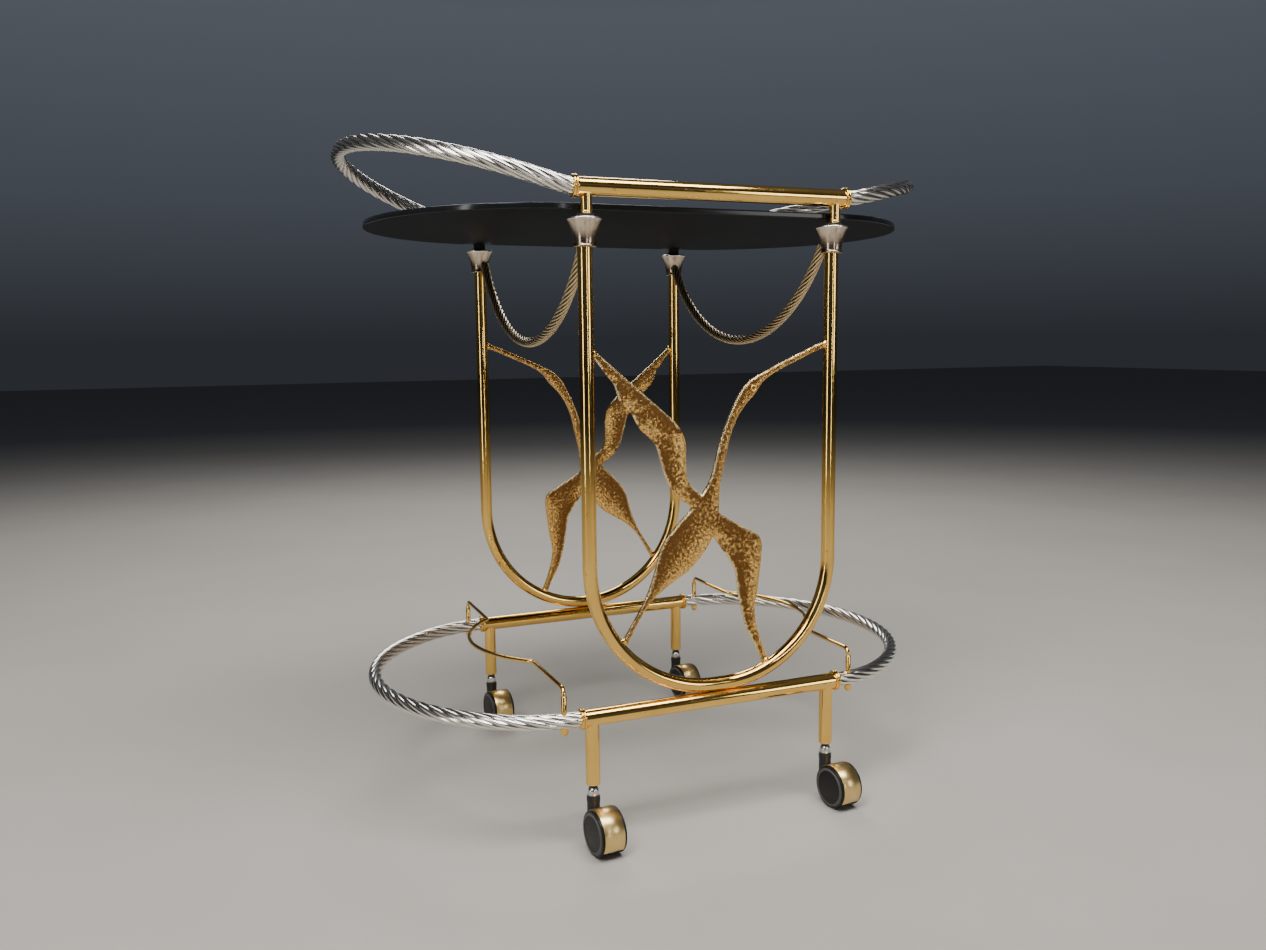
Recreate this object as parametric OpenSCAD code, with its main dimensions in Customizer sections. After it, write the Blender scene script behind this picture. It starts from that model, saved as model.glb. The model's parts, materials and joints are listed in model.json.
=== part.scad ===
// Serving trolley with an oval glass top, two bird plates and four hooded casters.
// X runs along the trolley, Y across it and Z up from the floor. The origin is the
// middle of the floor area that the trolley covers.

/* [Frame] */
// Distance between the legs along the trolley
leg_pitch_x = 300; // [290:5:320]
// Distance between the legs across the trolley
leg_pitch_y = 430; // [410:5:450]
// Outside diameter of the arms and legs
arm_d = 16; // [15:0.5:17]
// Outside diameter of the straight ring and rail tubes
tube_d = 19; // [18:0.5:20]
// Wall of every tube
wall = 1.5; // [1:0.1:2]
// Height of the lower ring's centre line
ring_z = 145; // [135:1:155]
// Height of the top of the arms' cups
cup_top_z = 681; // [640:1:720]

/* [Twisted tubes] */
// Outside diameter of the lower ring's twisted ends
ring_rope_d = 17; // [15:0.5:17]
// How far the lower ring's twisted ends reach past its straight tubes
ring_reach = 185; // [170:5:200]
// Outside diameter of the rail's twisted end loops
rail_rope_d = 17.5; // [15:0.5:18]
// Distance from the middle to the left loop's tip, along its centre line
left_tip = 365; // [350:1:375]
// Distance from the middle to the right loop's tip, along its centre line
right_tip = 355; // [350:1:375]
// Rise of the left loop above the horizontal, in degrees
left_tilt = 16.5; // [8:0.5:20]
// Rise of the right loop above the horizontal, in degrees
right_tilt = 12; // [8:0.5:20]
// Outside diameter of the twisted swags under the top
swag_d = 12; // [10:0.5:13]
// Height of the lowest point of a swag's centre line
swag_low_z = 553.5; // [540:0.5:570]

/* [Glass top] */
// Thickness of the glass
glass_t = 6.5; // [5:0.5:8]
// Half of the glass's width
glass_half_w = 214; // [205:1:214]
// Half of the glass's length
glass_half_l = 340; // [325:1:350]

/* [Casters] */
// Diameter of the wheels
wheel_d = 50; // [46:1:52]
// Width over both wheels of a caster
caster_w = 31.5; // [30:0.5:34]
// Distance from a caster's swivel axis to its wheel axis
trail = 27; // [26.5:0.5:28]
// Angle that the casters are turned to, in degrees
caster_turn = 6; // [-15:1:15]

/* [Hidden] */
CORNERS = ["fl", "fr", "bl", "br"];
$fn = 96;

// Colours
gold = [0.80, 0.60, 0.28];
old_gold = [0.55, 0.40, 0.17];
silver = [0.78, 0.78, 0.76];
black = [0.07, 0.07, 0.08];

// Places that follow from the driving dimensions
leg_x = leg_pitch_x / 2;
leg_y = leg_pitch_y / 2;
arm_r = arm_d / 2;
tube_r = tube_d / 2;
leg_end_z = 69;
fit_gap = 0.05;      // radial gap where one piece sits in another
moving_gap = 0.3;    // gap between pieces that move past each other

// Bent tubes
arch_join = 60;      // angle at which an arch's arcs meet
ring_len = 3;        // length of the ring inside a bent tube where two arcs meet
ring_proud = 0.15;   // how far that ring stands out of the tube's wall, in and out
ring_gap = 0.4;      // how far each arc stops short of the joint

// Lower ring
ring_tube_half = leg_x + 12;
collar_w = 6;
collar_r = tube_r + 2.3;

// U frames: each arm runs up from a bend that rests on the ring tube
bend_z = ring_z + tube_r + arm_r + 0.1;
front_flat = 14;           // straight stretch before the front frame's right bend

// Cups, pads and posts
cup_h = 30;
cup_rim_r = 18.5;
cup_z = cup_top_z - cup_h;
arm_top_z = cup_top_z - 13;
post_r = 6.4;
post_y = leg_y + 6;
pad_h = 3.5;
glass_z = cup_top_z + 8.5;
stud_r = 2.5;

// Rail
rail_y = post_y;
rail_z = cup_top_z + 31;
rail_tube_half = leg_x + 13;

// Swags hang as circular arcs between the front and back cups
swag_x = leg_x - 4;
swag_end_y = leg_y - 11;
swag_end_z = cup_top_z - 19;
swag_sag = swag_end_z - swag_low_z;
swag_arc_r = (pow(swag_end_y, 2) + pow(swag_sag, 2)) / (2 * swag_sag);

// Bottle wires over the lower ring
wire_r = 2.5;
wire_post_r = 3.2;
wire_x = leg_x + 32;
wire_y = leg_y - 1;
wire_z = ring_z + 36;
wire_kink_y = 105;
wire_bow = 47;
wire_elbow_r = 8;
wire_bow_r = (pow(wire_kink_y, 2) + pow(wire_bow, 2)) / (2 * wire_bow);

// Casters
wheel_r = wheel_d / 2;
hood_r = wheel_r + 0.6;
hood_t = 0.9;
hood_half_w = 12;
tread_r = wheel_r - 1.9;
tread_gap = 2;
cap_r = 0.84 * wheel_r;
cap_t = 0.8;
web_t = 3.2;
axle_r = 3;
axle_half = 13;
collar_top_z = 56;
neck_r = 7.2;
stem_r = 4;
stem_top_r = 2.9;
hood_front_z = 10;

// The footprint's middle lies off the legs' middle, because the casters trail to the
// front and the left loop is the longer one
front_reach = leg_y + (trail + hood_r) * cos(caster_turn) + hood_half_w * sin(caster_turn);
back_reach = rail_y + collar_r;
origin_shift = [(left_tip - right_tip) / 2, (front_reach - back_reach) / 2, 0];

// Crane plates, as points to the right of and above the U frame's centre line and floor
body_t = 6;
limb_t = 4.5;
neck_top = [
    [146, 553], [128, 547], [112, 540], [81, 527], [60, 517], [48, 511.5], [41, 506], [32, 496],
    [24, 482], [16, 465], [9, 448], [3, 428], [-3, 405], [-10, 391], [-18, 380]
];
left_leg_out = [
    [-18, 380], [-30, 367], [-47, 350], [-60, 336], [-68, 321], [-73, 303], [-81, 280],
    [-93, 257], [-113, 226]
];
left_leg_in = [
    [-108, 222], [-88, 256], [-71, 274], [-50, 288], [-32, 299], [-14, 317], [-3, 334], [2, 347]
];
neck_under = [
    [2, 347], [5, 364], [6, 387], [9, 404], [14, 425], [19, 446], [27, 465], [38, 481], [50, 493],
    [59, 505], [66, 511], [81, 519.5], [112, 533], [128, 540], [146, 546]
];
wing_over = [
    [-144, 547], [-115, 522], [-84, 496], [-58, 474], [-46, 463], [-38, 451], [-35, 438], [-35, 420],
    [-34, 404], [-27, 392], [-12, 380]
];
wing_under = [
    [-10, 366], [-26, 369], [-37, 376], [-50, 387], [-60, 405], [-66, 425], [-71, 441], [-80, 451],
    [-90, 460], [-101, 479], [-113, 491], [-119, 508], [-129, 520], [-144, 540]
];
right_leg_over = [
    [-4, 366], [6, 361], [26, 349], [48, 337], [57, 331], [61, 322], [61, 312], [59, 293], [56, 270],
    [52, 248], [54, 228], [61, 205], [70, 184], [74, 176]
];
right_leg_under = [
    [66, 173], [62, 182], [51, 204], [41, 224], [35, 245], [30, 268], [27, 290], [21, 303],
    [10, 319], [0, 333], [-8, 344]
];
eye_at = [48, 500];

// A three-centred arch has a flatter middle arc and two tighter corner arcs, which meet at the
// angle a from its middle line. With half width w and depth d, these are the difference of the
// two radii, the middle radius and the corner radius.
function arc_step(w, d, a) = (w - d) / (cos(a) + sin(a) - 1);
function middle_arc(w, d, a) = d + arc_step(w, d, a) * cos(a);
function corner_arc(w, d, a) = w - arc_step(w, d, a) * sin(a);

// Point at u between p1 and p2 on the smooth curve through four neighbouring points
function blend_point(p0, p1, p2, p3, u) =
    0.5 * (2 * p1 + (p2 - p0) * u
        + (2 * p0 - 5 * p1 + 4 * p2 - p3) * pow(u, 2)
        + (3 * p1 - p0 - 3 * p2 + p3) * pow(u, 3));

// Smooth curve through a list of points
function smooth(p, steps = 3) = [
    for (i = [0 : len(p) - 2], k = [0 : steps - 1])
        blend_point(p[max(i - 1, 0)], p[i], p[i + 1], p[min(i + 2, len(p) - 1)], k / steps),
    p[len(p) - 1]
];

// Angle that a length takes on an arc
function arc_angle(length, radius) = length / radius * 180 / PI;

// Cross-section of a tube, or of a rod when the bore is 0
module section(r, bore) {
    difference() {
        circle(r);
        if (bore > 0) circle(bore);
    }
}

// Tube bent round the Z axis from angle a0 to a1
module bend(radius, a0, a1, r, bore = 0) {
    rotate([0, 0, a0])
        rotate_extrude(angle = a1 - a0)
            translate([radius, 0]) section(r, bore);
}

// Ring round the joint between two arcs, a little thicker than the wall on both sides
module joint_ring(r, bore) {
    rotate([90, 0, 0]) rotate_extrude()
        translate([bore - ring_proud, -ring_len / 2]) square([r - bore + 2 * ring_proud, ring_len]);
}

// Tube bent into a three-centred arch that bulges towards +X, its ends on the Y axis.
// The arcs stop just short of each other inside the rings that join them.
module arch(half_w, depth, r, bore) {
    middle_r = middle_arc(half_w, depth, arch_join);
    corner_r = corner_arc(half_w, depth, arch_join);
    middle_end = arch_join - arc_angle(ring_gap, middle_r);
    corner_end = arch_join + arc_angle(ring_gap, corner_r);
    translate([depth - middle_r, 0, 0]) {
        bend(middle_r, -middle_end, middle_end, r, bore);
        for (turn = [-arch_join, arch_join]) rotate([0, 0, turn])
            translate([middle_r, 0, 0]) joint_ring(r, bore);
    }
    translate([0, corner_r - half_w, 0]) bend(corner_r, -90, -corner_end, r, bore);
    translate([0, half_w - corner_r, 0]) bend(corner_r, corner_end, 90, r, bore);
}

// Straight tube along X, centred on the origin
module tube_x(length, r, bore) {
    rotate([0, 90, 0])
        linear_extrude(length, center = true) section(r, bore);
}

// Ring with rounded edges along X, such as the collars
module band_x(width, r, bore) {
    soft = 1.2;
    rotate([0, 90, 0])
        rotate_extrude()
            polygon([
                [bore, -width / 2], [r - soft, -width / 2], [r, soft - width / 2],
                [r, width / 2 - soft], [r - soft, width / 2], [bore, width / 2]
            ]);
}

// Puts a piece in the shared frame
module placed() {
    translate(origin_shift) children();
}

// Front or back copy of a piece that is drawn at the front
module side(name) {
    placed() rotate([0, 0, name == "front" || name == "right" ? 0 : 180]) children();
}

// Sign of a corner along X and along Y
function corner_x(c) = c[1] == "l" ? -1 : 1;
function corner_y(c) = c[0] == "f" ? -1 : 1;

// A piece drawn on the swivel axis, moved to one corner
module at_corner(c) {
    placed() translate([corner_x(c) * leg_x, corner_y(c) * leg_y, 0]) children();
}

// A piece drawn for the front, turned to face outwards at one corner
module outward_at(c) {
    at_corner(c) rotate([0, 0, corner_y(c) < 0 ? 0 : 180]) children();
}

// Lower ring

module lower_tube(name) {
    color(gold) side(name) translate([0, -leg_y, ring_z])
        tube_x(2 * ring_tube_half, tube_r, tube_r - wall);
}

module lower_rope(name) {
    color(silver) side(name) translate([ring_tube_half, 0, ring_z])
        arch(leg_y, ring_reach, ring_rope_d / 2, ring_rope_d / 2 - wall);
}

module lower_collars() {
    color(gold) placed()
        for (sx = [-1, 1], sy = [-1, 1])
            translate([sx * ring_tube_half, sy * leg_y, ring_z])
                band_x(collar_w, collar_r, tube_r + fit_gap);
}

// Legs

module leg(c) {
    color(gold) at_corner(c) difference() {
        translate([0, 0, leg_end_z]) cylinder(r = arm_r, h = ring_z - leg_end_z);
        translate([0, 0, leg_end_z - 1]) cylinder(r = arm_r - wall, h = 56);
        translate([0, 0, ring_z]) tube_x(4 * arm_r, tube_r, 0);
    }
}

module leg_plugs() {
    plug_r = arm_r - wall - fit_gap;
    color(black) for (c = CORNERS) at_corner(c) rotate_extrude()
        polygon([
            [stem_top_r + fit_gap, leg_end_z - 3], [stem_top_r + 1, leg_end_z - 3],
            [plug_r + 0.6, leg_end_z - fit_gap], [plug_r, leg_end_z - fit_gap],
            [plug_r, leg_end_z + 30], [stem_top_r + fit_gap, leg_end_z + 30]
        ]);
}

// Half of a U frame, drawn towards +X: straight bottom of the given length, bend, then arm
module half_u(flat) {
    bend_r = leg_x - flat;
    bore = arm_r - wall;
    translate([0, -leg_y, bend_z]) {
        if (flat > 0) translate([flat / 2, 0, 0]) tube_x(flat, arm_r, bore);
        translate([flat, 0, bend_r]) rotate([90, 0, 0]) bend(bend_r, -90, 0, arm_r, bore);
        translate([leg_x, 0, bend_r])
            linear_extrude(arm_top_z - bend_z - bend_r) section(arm_r, bore);
    }
}

// The front frame's right bend is tighter than the other three
module u_frame(name) {
    color(gold) side(name) {
        half_u(name == "front" ? front_flat : 0);
        mirror([1, 0, 0]) half_u(0);
    }
}

// Crane plates: the neck, body and left leg stand proud of the wing and the right leg

module bird_plate(outline, thick, proud) {
    translate([0, -leg_y - proud + thick, 0]) rotate([90, 0, 0])
        linear_extrude(thick) polygon(outline);
}

module crane(name) {
    color(old_gold) side(name) {
        back = body_t / 2;
        body = concat(smooth(neck_top), smooth(left_leg_out), smooth(left_leg_in), smooth(neck_under));
        difference() {
            union() {
                bird_plate(body, body_t, back);
                bird_plate(concat(smooth(wing_over), smooth(wing_under)), limb_t, back - body_t + limb_t);
                bird_plate(concat(smooth(right_leg_over), smooth(right_leg_under)), limb_t,
                    back - body_t + limb_t);
            }
            // the arms and the bend that the tips are welded to
            for (sx = [-1, 1]) translate([sx * leg_x, -leg_y, 400]) cylinder(r = arm_r, h = 300);
            translate([0, -leg_y, bend_z]) rotate([90, 0, 0]) {
                translate([0, leg_x, 0]) bend(leg_x, 180, 270, arm_r);
                if (name == "back") translate([0, leg_x, 0]) bend(leg_x, 270, 360, arm_r);
                else translate([front_flat, leg_x - front_flat, 0])
                    bend(leg_x - front_flat, 270, 360, arm_r);
            }
        }
        translate([eye_at[0], -leg_y - back, eye_at[1]]) rotate([90, 0, 0])
            linear_extrude(0.8) section(3.6, 2.2);
    }
}

// Cups, pads and studs

// Outside of a cup, drawn on its own axis
module cup_outside() {
    rotate_extrude()
        polygon([
            [0, cup_z], [11, cup_z], [11.4, cup_z + 0.6], [11.4, cup_z + 1.8], [10.4, cup_z + 2.4],
            [10.2, cup_z + 4], [10.5, cup_z + 7], [11.3, cup_z + 11], [12.9, cup_z + 16],
            [15, cup_z + 21.5], [17.6, cup_z + 27.4], [cup_rim_r, cup_z + 28.4],
            [cup_rim_r, cup_z + 29.5], [cup_rim_r - 0.5, cup_z + cup_h], [0, cup_z + cup_h]
        ]);
}

module cup(c) {
    color(silver) outward_at(c) difference() {
        cup_outside();
        translate([0, 0, cup_z - 1]) cylinder(r = arm_r + fit_gap, h = arm_top_z - cup_z + 1.1);
        translate([0, leg_y - post_y, cup_z + 20]) cylinder(r = stud_r + fit_gap, h = 20);
    }
}

module glass_pads() {
    pad_r = 9;
    color(black) for (c = CORNERS) outward_at(c) difference() {
        translate([0, -3, cup_top_z]) cylinder(r = pad_r, h = glass_z - cup_top_z);
        translate([-20, -38 + leg_y - glass_half_w, cup_top_z + pad_h]) cube([40, 38, 10]);
        translate([0, leg_y - post_y, cup_top_z - 1]) cylinder(r = stud_r + fit_gap, h = 20);
    }
}

module post_studs() {
    color(silver) for (c = CORNERS) outward_at(c)
        translate([0, leg_y - post_y, cup_z + 20.5]) cylinder(r = stud_r, h = 28);
}

module rail_post(c) {
    foot_z = cup_top_z + pad_h;
    color(gold) outward_at(c) translate([0, leg_y - post_y, 0]) difference() {
        union() {
            translate([0, 0, foot_z]) cylinder(r = post_r, h = rail_z - foot_z);
            translate([0, 0, foot_z]) cylinder(r = post_r + 0.4, h = 2);
        }
        translate([0, 0, foot_z - 1]) cylinder(r = stud_r + fit_gap, h = 17);
        translate([0, 0, rail_z]) tube_x(4 * post_r, tube_r, 0);
    }
}

// Swags

module swag(name) {
    color(silver) side(name) difference() {
        translate([swag_x, 0, swag_low_z + swag_arc_r]) rotate([0, 90, 0])
            bend(swag_arc_r, -asin(swag_end_y / swag_arc_r), asin(swag_end_y / swag_arc_r),
                swag_d / 2, swag_d / 2 - wall);
        for (sy = [-1, 1]) translate([leg_x, sy * leg_y, 0]) {
            cup_outside();
            translate([0, 0, cup_z - 40]) cylinder(r = arm_r, h = 60);
        }
    }
}

// Glass

module glass_outline() {
    straight = leg_x + 7;
    depth = glass_half_l - straight;
    middle_r = middle_arc(glass_half_w, depth, arch_join);
    corner_r = corner_arc(glass_half_w, depth, arch_join);
    square([2 * straight, 2 * glass_half_w], center = true);
    for (sx = [-1, 1]) translate([sx * straight, 0]) {
        for (sy = [-1, 1]) translate([0, sy * (glass_half_w - corner_r)]) circle(corner_r);
        translate([sx * (depth - middle_r), 0]) intersection() {
            circle(middle_r);
            polygon([
                [0, 0], [sx * 2 * middle_r * cos(arch_join), -2 * middle_r * sin(arch_join)],
                [sx * 2 * middle_r * cos(arch_join), 2 * middle_r * sin(arch_join)]
            ]);
        }
    }
}

module glass_top() {
    color(black) placed() translate([0, 0, glass_z]) linear_extrude(glass_t) glass_outline();
}

// Rail

module rail_tube(name) {
    color(gold) side(name) translate([0, -rail_y, rail_z])
        tube_x(2 * rail_tube_half, tube_r, tube_r - wall);
}

// End loop of the rail, tilted up from its collars and trimmed clear of them and of the tubes
module rail_rope(name) {
    tilt = name == "left" ? left_tilt : right_tilt;
    tip = name == "left" ? left_tip : right_tip;
    r = rail_rope_d / 2;
    trim = 2 * collar_r;
    color(silver) side(name) translate([rail_tube_half, 0, rail_z]) difference() {
        rotate([0, -tilt, 0]) arch(rail_y, (tip - rail_tube_half) / cos(tilt), r, r - wall);
        for (sy = [-1, 1]) translate([0, sy * rail_y, 0]) {
            translate([-trim, -trim / 2, -trim / 2]) cube(trim);
            band_x(collar_w, collar_r, tube_r + fit_gap);
        }
    }
}

module rail_collars() {
    color(gold) placed()
        for (sx = [-1, 1], sy = [-1, 1])
            translate([sx * rail_tube_half, sy * rail_y, rail_z])
                band_x(collar_w, collar_r, tube_r + fit_gap);
}

// Bottle wires

// Solid stretches of the right-hand lower rope that the wires' posts and nuts are cut to
module rope_under_posts(r) {
    corner_r = corner_arc(leg_y, ring_reach, arch_join);
    for (sy = [-1, 1]) translate([ring_tube_half, sy * (leg_y - corner_r), ring_z])
        bend(corner_r, sy < 0 ? -90 : arch_join, sy < 0 ? -arch_join : 90, r);
}

module wire(name) {
    kink_angle = 2 * atan(wire_bow / wire_kink_y);
    color(gold) side(name) {
        for (sy = [-1, 1]) {
            difference() {
                translate([wire_x, sy * wire_y, ring_z])
                    cylinder(r = wire_post_r, h = wire_z - wire_elbow_r - ring_z);
                rope_under_posts(ring_rope_d / 2);
            }
            translate([wire_x, sy * (wire_y - wire_elbow_r), wire_z - wire_elbow_r])
                rotate([0, -90, 0]) bend(wire_elbow_r, sy > 0 ? 0 : -90, sy > 0 ? 90 : 0, wire_r);
            translate([wire_x, sy * (wire_y - wire_elbow_r + wire_kink_y) / 2, wire_z])
                rotate([90, 0, 0])
                    cylinder(r = wire_r, h = wire_y - wire_elbow_r - wire_kink_y, center = true);
            translate([wire_x, sy * wire_kink_y, wire_z]) sphere(wire_r + 0.2);
        }
        translate([wire_x + wire_bow - wire_bow_r, 0, wire_z])
            bend(wire_bow_r, -kink_angle, kink_angle, wire_r);
    }
}

module wire_nuts() {
    nut_r = 4.5;
    rope_r = ring_rope_d / 2;
    color(gold) placed() for (sx = [-1, 1], sy = [-1, 1]) difference() {
        translate([sx * wire_x, sy * wire_y, ring_z - rope_r - 3.5]) {
            cylinder(r = nut_r, h = 6);
            intersection() {
                sphere(nut_r);
                translate([0, 0, -10]) cylinder(r = 10, h = 10);
            }
        }
        mirror([sx < 0 ? 1 : 0, 0, 0]) rope_under_posts(rope_r + fit_gap);
    }
}

// Casters: drawn with the swivel axis on Z and the wheels trailing towards -Y

module caster_at(c) {
    at_corner(c) rotate([0, 0, caster_turn]) children();
}

// A piece drawn round the Z axis, put on the wheel axis
module on_wheel_axis() {
    translate([0, -trail, wheel_r]) rotate([0, 90, 0]) children();
}

module caster_stem(c) {
    dome_z = collar_top_z + moving_gap;
    color(silver) caster_at(c) rotate_extrude()
        polygon([
            [0, collar_top_z - 16.5], [stem_r, collar_top_z - 16.5], [stem_r, dome_z], [6.2, dome_z],
            [6.5, dome_z + 0.5], [6.5, dome_z + 4.5], [6, dome_z + 7], [4.8, dome_z + 8.9],
            [stem_top_r, dome_z + 9.7], [stem_top_r, leg_end_z + 28], [0, leg_end_z + 28]
        ]);
}

module caster_body(c) {
    color(black) caster_at(c) difference() {
        union() {
            // socket for the stem, clear of the treads
            difference() {
                translate([0, 0, 27]) cylinder(r = neck_r, h = collar_top_z - 27);
                on_wheel_axis() cylinder(r = tread_r + moving_gap, h = 40, center = true);
            }
            // web between the wheels
            on_wheel_axis() cylinder(r = hood_r - hood_t - fit_gap, h = web_t, center = true);
        }
        translate([0, 0, collar_top_z - 17]) cylinder(r = stem_r + fit_gap, h = 20);
        on_wheel_axis() cylinder(r = axle_r + fit_gap, h = 10, center = true);
    }
}

module caster_hood(c) {
    front_angle = asin((wheel_r - hood_front_z) / hood_r);
    back_angle = 50;
    color(gold) caster_at(c) on_wheel_axis() rotate([0, 0, 180 - back_angle])
        rotate_extrude(angle = 90 + front_angle + back_angle)
            translate([hood_r - hood_t, -hood_half_w]) square([hood_t, 2 * hood_half_w]);
}

module caster_axle(c) {
    color(silver) caster_at(c) on_wheel_axis() cylinder(r = axle_r, h = 2 * axle_half, center = true);
}

// One wheel, turned round its axle: tread under the hood, outer disc and raised cap
module wheel(c, hand) {
    half_w = caster_w / 2;
    bore = axle_r + fit_gap;
    color(black) caster_at(c) on_wheel_axis() mirror([0, 0, hand < 0 ? 1 : 0]) rotate_extrude()
        polygon([
            [bore, tread_gap], [tread_r, tread_gap], [tread_r, hood_half_w + moving_gap],
            [wheel_r - 0.3, hood_half_w + moving_gap], [wheel_r, hood_half_w + moving_gap + 0.4],
            [wheel_r, half_w - cap_t - 1], [wheel_r - 1, half_w - cap_t], [cap_r, half_w - cap_t],
            [cap_r - cap_t, half_w], [0, half_w], [0, axle_half + moving_gap], [bore, axle_half + moving_gap]
        ]);
}

lower_tube("front");  // lower_tube_front
lower_tube("back");  // lower_tube_back
lower_rope("left");  // lower_rope_left
lower_rope("right");  // lower_rope_right
lower_collars();
for (c = CORNERS) leg(c);
leg_plugs();
u_frame("front");  // u_frame_front
u_frame("back");  // u_frame_back
crane("front");  // crane_front
crane("back");  // crane_back
for (c = CORNERS) cup(c);
glass_pads();
post_studs();
swag("left");  // swag_left
swag("right");  // swag_right
glass_top();
for (c = CORNERS) rail_post(c);
rail_tube("front");  // rail_tube_front
rail_tube("back");  // rail_tube_back
rail_rope("left");  // rail_rope_left
rail_rope("right");  // rail_rope_right
rail_collars();
wire("left");  // wire_left
wire("right");  // wire_right
wire_nuts();
for (c = CORNERS) caster_stem(c);
for (c = CORNERS) caster_body(c);
for (c = CORNERS) caster_hood(c);
for (c = CORNERS) caster_axle(c);
for (c = CORNERS) wheel(c, -1);
for (c = CORNERS) wheel(c, 1);
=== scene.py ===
"""Looks of an oval serving trolley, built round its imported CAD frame. Metres, +Z up."""

import json
from math import atan2, ceil, cos, hypot, pi, radians, sin

import bmesh
import bpy
from mathutils import Matrix, Vector, noise
from mathutils.kdtree import KDTree


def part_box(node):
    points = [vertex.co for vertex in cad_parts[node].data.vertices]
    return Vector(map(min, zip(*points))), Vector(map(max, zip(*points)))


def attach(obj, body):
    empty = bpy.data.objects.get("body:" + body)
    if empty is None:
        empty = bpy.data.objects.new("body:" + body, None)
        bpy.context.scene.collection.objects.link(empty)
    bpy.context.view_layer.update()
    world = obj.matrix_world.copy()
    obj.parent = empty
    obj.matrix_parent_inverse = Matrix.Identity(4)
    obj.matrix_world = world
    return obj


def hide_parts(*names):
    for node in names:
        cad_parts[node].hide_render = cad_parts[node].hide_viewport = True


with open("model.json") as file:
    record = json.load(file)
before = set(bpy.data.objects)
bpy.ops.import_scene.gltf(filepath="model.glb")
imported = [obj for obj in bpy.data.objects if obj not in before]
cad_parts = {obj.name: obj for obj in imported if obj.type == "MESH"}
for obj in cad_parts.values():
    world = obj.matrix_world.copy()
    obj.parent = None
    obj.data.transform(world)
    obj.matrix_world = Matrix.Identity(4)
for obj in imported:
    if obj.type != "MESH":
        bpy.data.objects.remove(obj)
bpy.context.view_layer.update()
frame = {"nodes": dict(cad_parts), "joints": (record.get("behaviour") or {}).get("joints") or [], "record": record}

MM = 0.001
TOUCHING = 1e-6      # path points nearer than this are one point
WELD_GAP = 1e-5      # mesh points nearer than this are welded
CORNERS = ("fl", "fr", "bl", "br")
X, Y, Z = Vector((1, 0, 0)), Vector((0, 1, 0)), Vector((0, 0, 1))


# Places and sizes, all from the frame

def middle(node):
    """Middle of a CAD node's box."""
    low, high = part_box(node)
    return (low + high) / 2


def spread(node):
    """Size of a CAD node's box."""
    low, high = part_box(node)
    return high - low


def foot_of(node):
    """Middle of the underside of a CAD node's box."""
    place = middle(node)
    place.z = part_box(node)[0].z
    return place


def joint(name):
    """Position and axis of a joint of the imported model."""
    row = next(j for j in frame["joints"] if j["name"] == name)
    return Vector(row["pos_m"]), Vector(row["axis"])


centre = ((middle("leg_fl") + middle("leg_br")) / 2).xy.to_3d()
leg_x = middle("leg_fr").x - centre.x
leg_y = centre.y - middle("leg_fl").y
ring_z = middle("lower_tube_front").z
rail_z = middle("rail_tube_front").z
tube_r = spread("rail_tube_front").z / 2
arm_r = spread("leg_fl").x / 2
ring_half = spread("lower_tube_front").x / 2
rail_half = spread("rail_tube_front").x / 2
rail_y = centre.y - middle("rail_tube_front").y
cup_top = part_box("cup_fl")[1].z


# Meshes

TUBE_SIDES = 56


def new_piece(name, mesh, body, slot, replaced=(), sharp=35):
    """A smooth-shaded object on a CAD body, in a slot's material, that stands for CAD nodes."""
    mesh.polygons.foreach_set("use_smooth", [True] * len(mesh.polygons))
    mesh.set_sharp_from_angle(angle=radians(sharp))
    piece = bpy.data.objects.new(name, mesh)
    bpy.context.scene.collection.objects.link(piece)
    mesh.materials.append(MATERIALS[slot])
    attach(piece, body)
    if replaced:
        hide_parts(*replaced)
    return piece


def mark(mesh, name, values):
    """Keeps one number for each point of a mesh, for its material to read."""
    mesh.attributes.new(name, "FLOAT", "POINT").data.foreach_set("value", values)


def skin(rings):
    """Points and faces of the surface over rings of points, capped at both ends."""
    around = len(rings[0])
    points = [p for ring in rings for p in ring]
    faces = []
    for i in range(len(rings) - 1):
        near, far = i * around, (i + 1) * around
        for k in range(around):
            n = (k + 1) % around
            faces.append((near + k, near + n, far + n, far + k))
    faces.append(tuple(range(around))[::-1])
    faces.append(tuple(range(len(points) - around, len(points))))
    return points, faces


def mesh_of(name, parts):
    """One mesh from several lists of points and faces, with its normals outwards."""
    points, faces = [], []
    for some_points, some_faces in parts:
        base = len(points)
        points += [tuple(p) for p in some_points]
        faces += [tuple(base + i for i in face) for face in some_faces]
    mesh = bpy.data.meshes.new(name)
    mesh.from_pydata(points, [], faces)
    work = bmesh.new()
    work.from_mesh(mesh)
    bmesh.ops.recalc_face_normals(work, faces=work.faces)
    work.to_mesh(mesh)
    work.free()
    return mesh


def frames_along(path, normal):
    """(point, sideways, normal, distance) along a path, whose sideways direction turns with it."""
    distance, rows = 0.0, []
    for i, point in enumerate(path):
        ahead = (path[min(i + 1, len(path) - 1)] - path[max(i - 1, 0)]).normalized()
        side = normal.cross(ahead).normalized()
        if i:
            distance += (point - path[i - 1]).length
        rows.append((point, side, ahead.cross(side), distance))
    return rows


def circle(point, radius, first, second, sides):
    """Points round a circle in the plane of two directions."""
    angles = (2 * pi * k / sides for k in range(sides))
    return [point + radius * (cos(a) * first + sin(a) * second) for a in angles]


def rod(path, radius, normal, chamfer=0.0):
    """Round bar along a path, with its ends drawn in by a chamfer."""
    rows, rings = frames_along(path, normal), []
    for i, (point, side, up, _) in enumerate(rows):
        r = radius - (chamfer if i in (0, len(rows) - 1) else 0)
        rings.append(circle(point, r, side, up, TUBE_SIDES))
    return skin(rings)


def line(start, end, chamfer):
    """Straight path with an extra point a chamfer's length from each end."""
    along = (end - start).normalized()
    return [start, start + chamfer * along, end - chamfer * along, end]


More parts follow.
